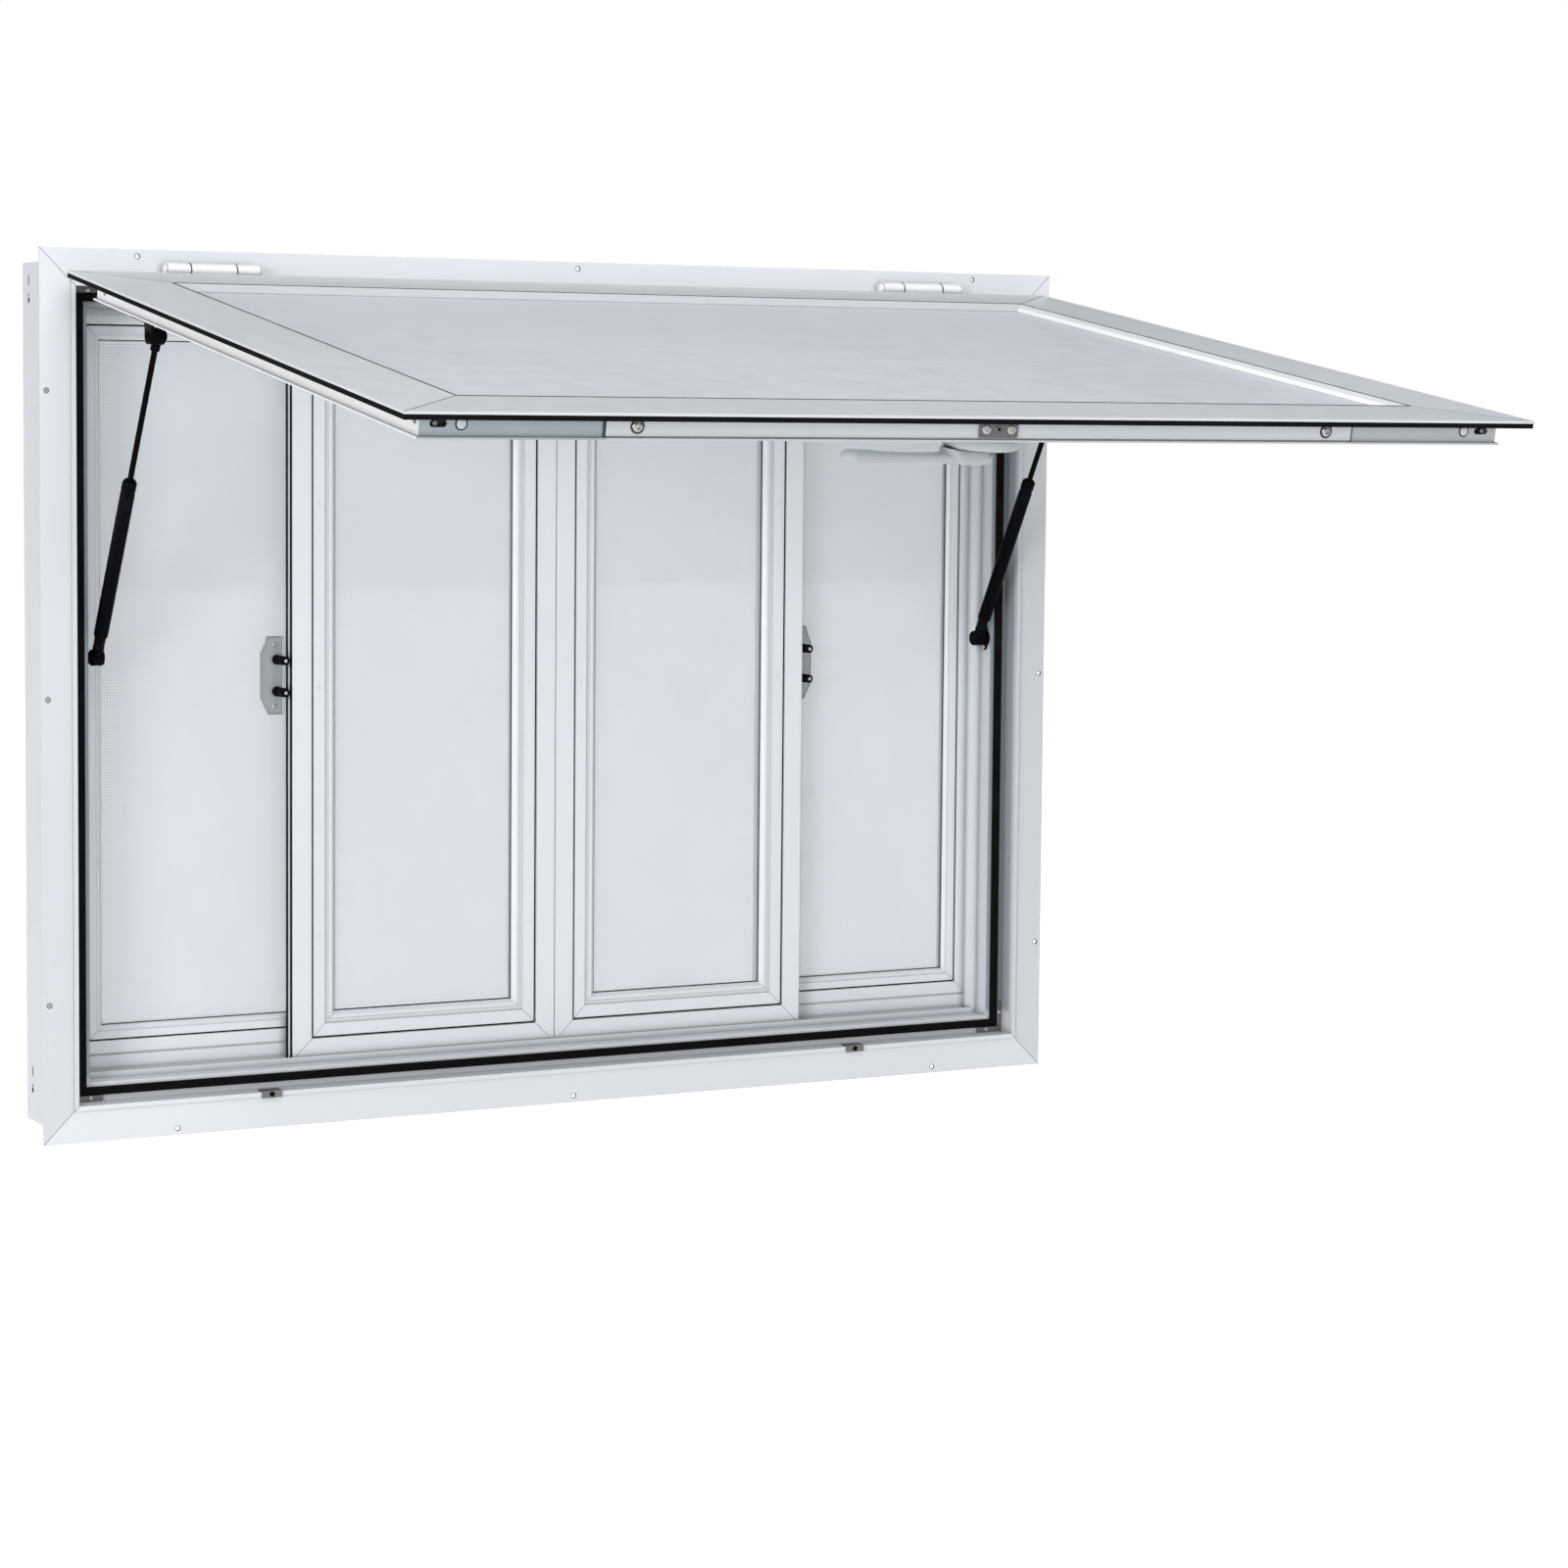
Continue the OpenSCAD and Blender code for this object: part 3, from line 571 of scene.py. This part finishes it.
# ---------------------------------------------------------------- hinges: black washers and pin heads
s, pins = Shape(), Shape()
for hx in (-423, 423):
    for dx in (-25, 25):
        m = along((hx + dx - 0.48, AX_Y, AX_Z), (1, 0, 0))
        s.lathe([(3.1, 0), (8.3, 0), (8.45, 0.2), (8.45, 0.76), (8.3, 0.96), (3.1, 0.96)], m, 40, closed=True)
    for k, d in ((-50, -1), (50, 1)):
        m = along((hx + k, AX_Y, AX_Z), (d, 0, 0))
        pins.lathe([(0, 0.1), (5.8, 0.1), (5.8, 1.3), (5.2, 2.1), (3.0, 2.5), (0, 2.6)], m, 28)
s.build("hinge_washers", "rubber", "frame")
pins.build("hinge_pin_heads", "hinge", "frame")

# ---------------------------------------------------------------- front rail of the door
ZR = DOOR_BOT + BOX_IN
front = OPEN


def on_rail(x, y, z):
    """A matrix on the front rail's outer face, Z pointing away from the rail (closed door: down)."""
    return OPEN @ along((x, FACE_Y + y, z), (0, 0, -1))


plate = Shape()
m = OPEN @ Matrix(((1, 0, 0, 0), (0, 1, 0, FACE_Y + 15), (0, 0, 1, ZR - 2.6), (0, 0, 0, 1)))
loops = []
for z, inset in ((0.0, 0.35), (0.35, 0.0), (1.6, 0.0)):
    pts = []
    for cx, cy, t0 in ((18.6, 6.1, 0), (-18.6, 6.1, 90), (-18.6, -6.1, 180), (18.6, -6.1, 270)):
        for i in range(5):
            t = math.radians(t0 + 22.5 * i)
            pts.append((cx + (1.4 - inset) * math.cos(t), cy + (1.4 - inset) * math.sin(t), z))
    loops.append(pts)
plate.stack(loops, m)
plate.lathe([(1.5, -0.5), (2.9, -0.5), (3.3, -0.1), (3.3, 0.2), (1.5, 0.2)], m, 28, closed=True)
plate.build("latch_strike", "strike", "awning", replaces=("latch_plate",))
s = Shape()
for x in (-13, 13):
    s.screw(4.4, 1.5, on_rail(x, 15, ZR - 2.55), "cross", 40, 12)
s.build("latch_screws", "zinc", "awning")
# a black disc inside the strike's hole: painted shade
s = Shape()
s.lathe([(0, 0.15), (1.5, 0.15), (1.5, 0.35), (0, 0.35)], on_rail(0, 15, ZR - 2.6), 24)
s.build("latch_hole_shade", "rubber", "awning")

s = Shape()
rim = Shape()
for x in (-357, 357):
    s.screw(4.9, 3.0, on_rail(x, 15, ZR - 1.0), "hex", 36, 12)
    rim.lathe([(4.2, -0.1), (6.4, -0.1), (6.4, 0.6), (6.0, 1.0), (4.2, 1.0)], on_rail(x, 15, ZR - 1.0), 32, closed=True)
s.build("rail_bolts", "zinc", "awning", replaces=("awning_bolts",))
rim.build("rail_bolt_seals", "joint", "awning")

plug, gap, pin = Shape(), Shape(), Shape()
for sx in (-1, 1):
    m = on_rail(sx * 518.5, 14, ZR)
    gap.lathe([(4.5, -0.4), (5.6, -0.4), (5.6, 0.25), (5.3, 0.45), (4.5, 0.45)], m, 32, closed=True)
    plug.lathe([(0, -0.4), (4.5, -0.4), (4.5, 0.5), (4.0, 0.8), (0, 0.95)], m, 32)
    m = on_rail(sx * 541.5, 14, ZR + 3.4)
    pin.lathe([(0, -0.5), (2.3, -0.5), (2.3, 1.4), (1.9, 1.8), (0, 1.8)], m, 20)
    # the same plugs on the side rails
    side = OPEN @ along((sx * (DOOR_W / 2 - BOX_IN), FACE_Y + 14, DOOR_TOP - 46), (sx, 0, 0))
    gap.lathe([(3.6, -0.4), (4.6, -0.4), (4.6, 0.2), (4.3, 0.4), (3.6, 0.4)], side, 28, closed=True)
    plug.lathe([(0, -0.4), (3.6, -0.4), (3.6, 0.4), (3.2, 0.7), (0, 0.8)], side, 28)
    for z in (DOOR_TOP - 34, DOOR_BOT + 33):
        pin.screw(2.8, 1.2, OPEN @ along((sx * (DOOR_W / 2 - BOX_IN), FACE_Y + 13, z), (sx, 0, 0)), "cross", 24, 8)
plug.build("rail_plugs", "white_door", "awning")
gap.build("rail_plug_seals", "rubber", "awning")
pin.build("rail_pins", "steel", "awning")

# end caps of the rail joint: a dark seam at each end of the cover strip
s = Shape()
for x, w in ((-387.4, 1.3), (386.7, 0.6)):
    m = OPEN
    s.box((x - w, FACE_Y + 6.2, ZR - 0.85), (x + w, FACE_Y + DOOR_T - 2.0, ZR + 0.3), m)
s.box((-386, FACE_Y + 6.5, ZR - 0.6), (386, FACE_Y + 7.0, ZR + 0.3), OPEN)
s.build("rail_seams", "joint", "awning")

# ---------------------------------------------------------------- screws that hold the door's inner liner
s = Shape()
for x in (-500, -300, -100, 100, 300, 500):
    for z in (DOOR_BOT + 37, DOOR_TOP - 37):
        if abs(x) < 60 and z < 200:
            continue
        s.screw(3.4, 1.5, OPEN @ along((x, FACE_Y + DOOR_T, z), (0, 1, 0)), "cross", 24, 8)
for z in (130, 300, 470, 600):
    for sx in (-1, 1):
        s.screw(3.4, 1.5, OPEN @ along((sx * (DOOR_W / 2 - 34), FACE_Y + DOOR_T, z), (0, 1, 0)), "cross", 24, 8)
s.build("liner_screws", "zinc", "awning")

# ---------------------------------------------------------------- handle
m = OPEN @ Matrix.Translation((16, FACE_Y + DOOR_T, DOOR_BOT + 77)) @ Matrix.Rotation(math.radians(-90), 4, "X")
s = Shape()
s.lathe([(0, 0.0), (36.0, 0.0), (36.0, 9.6), (35.4, 11.2), (34.2, 12.4), (32.8, 13.4), (0, 13.5)], m, 80)
s.build("handle_rose", "handle", "awning", replaces=("handle_base",))
# a black ring in the gap between rose and lever: painted shade of the gap
s = Shape()
s.lathe([(11, 13.45), (31.5, 13.45), (31.8, 13.7), (31.5, 13.95), (11, 13.95)], m, 64, closed=True)
s.build("handle_gap_shade", "rubber", "awning")


def lerp_keys(keys, x):
    for (a, *va), (b, *vb) in zip(keys, keys[1:]):
        if b <= x <= a:
            t = (a - x) / (a - b)
            t = t * t * (3 - 2 * t)
            return [p + (q - p) * t for p, q in zip(va, vb)]
    return list(keys[-1][1:])


keys = [(9, 22.0, 7.0, 12.0), (-10, 22.2, 6.8, 12.2), (-26, 23.2, 6.0, 11.0), (-46, 23.6, 5.0, 9.2), (-74, 23.5, 4.7, 8.3),
        (-100, 23.2, 5.2, 8.8), (-120, 22.7, 6.3, 10.2), (-131, 22.6, 6.6, 10.7), (-136.5, 22.6, 5.4, 8.8), (-139.6, 22.6, 3.2, 5.4), (-140.9, 22.6, 0.6, 1.2)]
s = Shape()
loops = []
stations = [9 - i * 2.6 for i in range(54)] + [-131, -133, -135, -136.5, -138, -139, -139.6, -140.3, -140.9]
for x in sorted(set(x for x in stations if x >= -140.9), reverse=True):
    zc, hz, hy = lerp_keys(keys, x)
    ring = []
    for i in range(28):
        t = 2 * math.pi * i / 28
        c, q = math.cos(t), math.sin(t)
        e = 0.78
        ring.append((x, hy * math.copysign(abs(c) ** e, c), zc + hz * math.copysign(abs(q) ** e, q)))
    loops.append(ring)
s.stack(loops, m, True)
hub = []
for z, r, back in ((14.15, 12.6, -27), (15.4, 12.9, -27), (18.0, 12.6, -25), (24.0, 11.8, -22), (27.6, 10.8, -19), (29.0, 9.0, -17), (29.3, 7.0, -16)):
    ring = []
    for i in range(40):
        t = 2 * math.pi * i / 40
        ring.append(((back if math.cos(t) < 0 else 0) + r * math.cos(t), r * math.sin(t), z))
    hub.append(ring)
s.stack(hub, m, True)
lever = s.build("handle_grip", "handle", "handle", replaces=("handle_lever",))
lever.parent = None
world = lever.matrix_world.copy()
mod = lever.modifiers.new("one_body", "REMESH")
mod.mode = "VOXEL"
mod.voxel_size = 0.0009
mod = lever.modifiers.new("even", "SMOOTH")
mod.factor = 0.5
mod.iterations = 5
dg = bpy.context.evaluated_depsgraph_get()
dg.update()
merged = bpy.data.meshes.new_from_object(lever.evaluated_get(dg))
lever.modifiers.clear()
lever.data = merged
merged.polygons.foreach_set("use_smooth", [True] * len(merged.polygons))
merged.materials.clear()
merged.materials.append(MAT["handle"])
lever.matrix_world = world
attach(lever, "handle")

# ---------------------------------------------------------------- gas struts
axis = Vector((0, -math.sin(math.radians(LEAN)), math.cos(math.radians(LEAN))))
for sx, side in ((-1, "left"), (1, "right")):
    foot = Vector((sx * STRUT_X, P_Y, P_Z))
    m = along(foot, axis)
    s = Shape()
    s.lathe([(0, 25.4), (6.4, 25.6), (7.4, 27.5), (7.5, 29.0), (7.5, 196.5), (7.05, 197.6), (7.05, 199.4), (7.5, 200.5),
             (7.5, 207.5), (7.1, 209.6), (5.9, 211.2), (4.6, 211.6), (3.5, 211.2), (3.4, 209.0), (3.4, 170.0), (0, 170.0)], m, 44)
    s.lathe([(0, 5.0), (5.2, 5.0), (5.8, 8.5), (6.0, 12.0), (6.0, 15.0), (5.5, 15.8), (5.5, 17.6), (6.0, 18.4), (6.0, 24.4), (6.4, 25.8), (0, 26.0)], m, 36)
    e = along(foot - Vector((6.5, 0, 0)), (1, 0, 0))
    s.lathe([(0, 0.2), (3.0, 0.2), (3.4, 1.2), (6.0, 1.2), (6.6, 0.0), (7.9, 0.0), (8.5, 0.8), (8.5, 12.2), (7.9, 13.0), (6.6, 13.0), (6.0, 11.8), (3.4, 11.8), (3.0, 12.8), (0, 12.8)], e, 40)
    s.build("strut_tube_" + side, "black_metal", "cylinder_" + side, replaces=("strut_cylinder_" + side,))
    top = foot + axis * STRUT_LEN
    s = Shape()
    s.lathe([(0, 171.0), (3.0, 171.0), (3.0, 360.2), (0, 360.6)], m, 36)
    s.lathe([(0, 359.4), (4.3, 359.4), (4.9, 360.2), (4.9, 362.4), (4.4, 363.0), (4.4, 363.8), (5.0, 364.4), (5.0, 368.4), (0, 368.8)], m, 32)
    e = along(top - Vector((6.5, 0, 0)), (1, 0, 0))
    s.lathe([(3.58, 0.3), (4.2, 0.0), (7.9, 0.0), (8.5, 0.8), (8.5, 12.2), (7.9, 13.0), (4.2, 13.0), (3.58, 12.7)], e, 40, closed=True)
    s.build("strut_shaft_" + side, "black_metal", "rod_" + side, replaces=("strut_rod_" + side,))
    # bolt heads on the stud plate and on the door bracket
    s = Shape()
    for z in (-10.2, 10.2):
        s.screw(3.0, 1.6, along((sx * (FW / 2 - 57.6 - 2.0), P_Y + 3, P_Z + z), (-sx, 0, 0)), "cross", 24, 8)
    s.build("stud_plate_screws_" + side, "zinc", "frame")
    s = Shape()
    q = OPEN @ Vector((sx * STRUT_X, FACE_Y + 45, AX_Z - 151))
    s.screw(5.0, 2.2, along(q + Vector((-sx * 7.4, 0, 0)), (-sx, 0, 0)), "hex", 30, 10)
    s.screw(5.0, 2.2, along(q + Vector((sx * 10.4, 0, 0)), (sx, 0, 0)), "hex", 30, 10)
    for z in (-12, 12):
        s.screw(2.9, 1.3, OPEN @ along((sx * (STRUT_X + 18), FACE_Y + DOOR_T + 2.5, AX_Z - 151 + z), (0, 1, 0)), "cross", 24, 8)
    s.build("bracket_bolts_" + side, "black_metal", "awning")

# ---------------------------------------------------------------- finger plates and turn knobs
outline = [(1.0, -42), (16.0, -42), (17.4, -41.2), (21.0, -34), (25.2, -25.6), (26.0, -24), (26.0, 24), (25.2, 25.6), (21.0, 34), (19.2, 41.2), (18.2, 42), (1.0, 42)]
flat, turn, pins = Shape(), Shape(), Shape()
for sx in (-1, 1):
    def ring_of(inset, y):
        return [(sx * (323.5 + (px - 13.5) * (1 - inset / 12.5)), y, 458 + pz * (1 - inset / 42.0)) for px, pz in outline]
    flat.stack([ring_of(0.5, 73.5), ring_of(0.0, 74.0), ring_of(0.0, 75.5), ring_of(0.5, 75.95)])
    # raised rim round the plate and a collar round each knob
    for a, b in zip(outline, outline[1:]):
        pa = Vector((sx * (310.8 + a[0] * 0.94), 73.3, 458 + a[1] * 0.97))
        pb = Vector((sx * (310.8 + b[0] * 0.94), 73.3, 458 + b[1] * 0.97))
        d = (pb - pa).length
        flat.lathe([(0, -0.3), (0.9, -0.1), (0.9, d + 0.1), (0, d + 0.3)], along(pa, pb - pa), 8)
    for z in (-17, 17):
        m = along((sx * 318.5, 73.5, 458 + z), (0, -1, 0))
        flat.lathe([(5.3, -0.2), (7.0, -0.2), (7.0, 0.9), (6.4, 1.3), (5.3, 1.3)], m, 24, closed=True)
        turn.lathe([(0, 0.0), (5.2, 0.0), (5.2, 5.2), (4.8, 6.3), (3.6, 7.0), (3.2, 9.0), (3.2, 19.6), (3.6, 21.0), (4.6, 22.2), (4.8, 23.0),
                    (4.8, 24.4), (4.4, 24.8), (4.4, 25.4), (4.8, 25.8), (4.8, 27.3), (4.2, 28.3), (2.4, 28.5), (0, 28.5)], m, 30)
        # the wing by which the knob is turned
        turn.soft_box((-2.0, -4.9, 9.5), (2.0, 4.9, 18.5), 1.2, m)
        pins.screw(1.9, 0.8, along((sx * 318.5, 45.1, 458 + z), (0, -1, 0)), "cross", 20, 8)
    for z in (-33, 33):
        pins.screw(2.3, 1.0, along((sx * 320.0, 73.5, 458 + z), (0, -1, 0)), "cross", 20, 8)
pins.build("finger_plate_screws", "zinc", "frame")
flat.build("finger_plates_clear", "clear_plastic", "frame", replaces=("finger_plates",))
turn.build("turn_knobs_black", "black_plastic", "frame", replaces=("turn_knobs",))

# ---------------------------------------------------------------- small screws on the frame
s = Shape()
for sx in (-1, 1):
    for sz, zc in ((-1, ZB + 38.4), (1, ZT - 38.4)):
        x = sx * (FW / 2 - 38.4)
        s.screw(2.2, 1.0, along((x - sx * 2.8, 19.6, zc - sz * 22), (0, -1, 0)), "cross", 20, 8)
        s.screw(2.2, 1.0, along((x - sx * 20, 19.6, zc - sz * 2.8), (0, -1, 0)), "cross", 20, 8)
s.build("corner_key_screws", "zinc", "frame")
s = Shape()
for sx in (-1, 1):
    for z in (180, 445, 640, 760):
        s.lathe([(0, -0.2), (1.5, -0.2), (1.4, 0.25), (0.9, 0.5), (0, 0.55)], along((sx * (310 - 31), 48.8, z), (0, -1, 0)), 16)
        s.lathe([(0, -0.2), (1.5, -0.2), (1.4, 0.25), (0.9, 0.5), (0, 0.55)], along((sx * (0.4 + 31), 48.8, z), (0, -1, 0)), 16)
s.build("sash_rivets", "white_sash", "frame")
# dark countersunk rims round the fixing holes in the fin, and a screw in each keeper
s = Shape()
holes = [(sx * 596, z) for sx in (-1, 1) for z in (131, 444, 757)] + [(x, ZT - 7) for x in (-499, 0, 499)] + [(x, ZB + 7) for x in (-458, 0, 458)]
for x, z in holes:
    s.lathe([(2.35, -0.6), (3.1, -0.6), (3.1, 0.10), (2.8, 0.16), (2.35, 0.0)], along((x, -2.0, z), (0, -1, 0)), 28, closed=True)
s.build("fixing_hole_rims", "steel", "frame")
# black pieces set into the slots of the box sides: painted shade inside the slots
s = Shape()
for sx in (-1, 1):
    for z in (32, 850):
        xa, xb = sorted((sx * 589.6, sx * 588.4))
        turned = Matrix(((0, 0, 1, 0), (1, 0, 0, 0), (0, 1, 0, 0), (0, 0, 0, 1)))
        s.soft_box((71.5, z + 14.5, xa), (74.5, z + 25.5, xb), 1.4, turned)
        s.lathe([(0, 0), (2.9, 0), (2.9, 0.9), (2.6, 1.2), (0, 1.2)], along((sx * 588.4, 73, z), (sx, 0, 0)), 24)
        s.soft_box((71.4, z + 2.0, xa), (74.6, z + 6.6, xb), 1.4, turned)
s.build("slot_shade_fills", "black_plastic", "frame")
s = Shape()
for x in (-354, 354):
    s.screw(2.9, 0.9, along((x, -5.0, ZB + 35.6), (0, -1, 0)), "cross", 24, 8)
s.build("keeper_screws", "black_metal", "frame")

# ---------------------------------------------------------------- floor, light, camera
me = bpy.data.meshes.new("floor")
me.from_pydata([(-14, -12, -0.42), (16, -12, -0.42), (16, 22, -0.42), (-14, 22, -0.42)], [], [(0, 1, 2, 3)])
floor = bpy.data.objects.new("floor", me)
bpy.context.scene.collection.objects.link(floor)
g = Graph("floor_pale")
g.link(g.mix(g.spread(g.noise(1.2, 2), 0.3, 0.7, 0, 1), (0.62, 0.62, 0.62), (0.65, 0.65, 0.65)), g.p.inputs["Base Color"])
g.p.inputs["Roughness"].default_value = 0.9
g.p.inputs["Specular IOR Level"].default_value = 0.1
g.p.inputs["Emission Color"].default_value = (1, 1, 1, 1)
ray = g.t.nodes.new("ShaderNodeLightPath")
g.link(g.spread(ray.outputs["Is Camera Ray"], 0, 1, 0.42, 0.90), g.p.inputs["Emission Strength"])
me.materials.append(g.m)

W_BASE, W_GRAD, KEY, TOP, RIM = 0.05, 0.85, 380, 72, 8
world = bpy.data.worlds.new("studio")
world.use_nodes = True
t = world.node_tree
bg = t.nodes["Background"]
co = t.nodes.new("ShaderNodeTexCoord")
dot = t.nodes.new("ShaderNodeVectorMath")
dot.operation = "DOT_PRODUCT"
dot.inputs[1].default_value = Vector((-0.62, -0.70, 0.35)).normalized()
t.links.new(co.outputs["Generated"], dot.inputs[0])
ramp = t.nodes.new("ShaderNodeMapRange")
ramp.inputs["From Min"].default_value = -0.3
ramp.inputs["From Max"].default_value = 1.0
ramp.inputs["To Min"].default_value = W_BASE
ramp.inputs["To Max"].default_value = W_BASE + W_GRAD
t.links.new(dot.outputs["Value"], ramp.inputs["Value"])
ray = t.nodes.new("ShaderNodeLightPath")
pick = t.nodes.new("ShaderNodeMix")
pick.data_type = "FLOAT"
t.links.new(ray.outputs["Is Camera Ray"], pick.inputs[0])
t.links.new(ramp.outputs[0], pick.inputs[2])
pick.inputs[3].default_value = 1.0
bg.inputs[0].default_value = (1.0, 1.0, 1.0, 1)
t.links.new(pick.outputs[0], bg.inputs[1])
bpy.context.scene.world = world
bpy.context.scene.view_settings.view_transform = "Standard"


def lamp(name, place, target, wide, high, watts, colour=(1, 1, 1)):
    d = bpy.data.lights.new(name, "AREA")
    d.shape = "RECTANGLE"
    d.size, d.size_y, d.energy, d.color = wide, high, watts, colour
    o = bpy.data.objects.new(name, d)
    o.location = place
    o.rotation_euler = (Vector(target) - Vector(place)).to_track_quat("-Z", "Y").to_euler()
    bpy.context.scene.collection.objects.link(o)


lamp("key", (-8.1, -6.4, 1.55), (0, 0, 0.45), 2.8, 2.6, KEY)
lamp("top", (-0.4, -2.4, 3.3), (0, -0.3, 0.75), 2.4, 1.8, TOP)
lamp("rim", (-3.0, 0.7, 0.7), (-0.6, 0.0, 0.5), 0.8, 1.6, RIM)

cam = bpy.data.cameras.new("camera")
cam.sensor_width = 36
cam.lens = 3852.8 / 1600 * 36
cam.shift_x = -(643.4 - 800) / 1600
cam.shift_y = (723.9 - 800) / 1600
cam.clip_start, cam.clip_end = 0.05, 60
eye = bpy.data.objects.new("camera", cam)
yaw, pitch, roll = 0.469700, -0.072587, 0.006096
right = Vector((math.cos(yaw), -math.sin(yaw), 0))
fwd = Vector((math.sin(yaw), math.cos(yaw), 0)) * math.cos(pitch) + Vector((0, 0, 1)) * math.sin(pitch)
up = right.cross(fwd)
r2 = right * math.cos(roll) + up * math.sin(roll)
u2 = -right * math.sin(roll) + up * math.cos(roll)
mat = Matrix((r2, u2, -fwd)).transposed().to_4x4()
mat.translation = Vector((-1.7984, -3.6767, 0.7159))
eye.matrix_world = mat
bpy.context.scene.collection.objects.link(eye)
bpy.context.scene.camera = eye
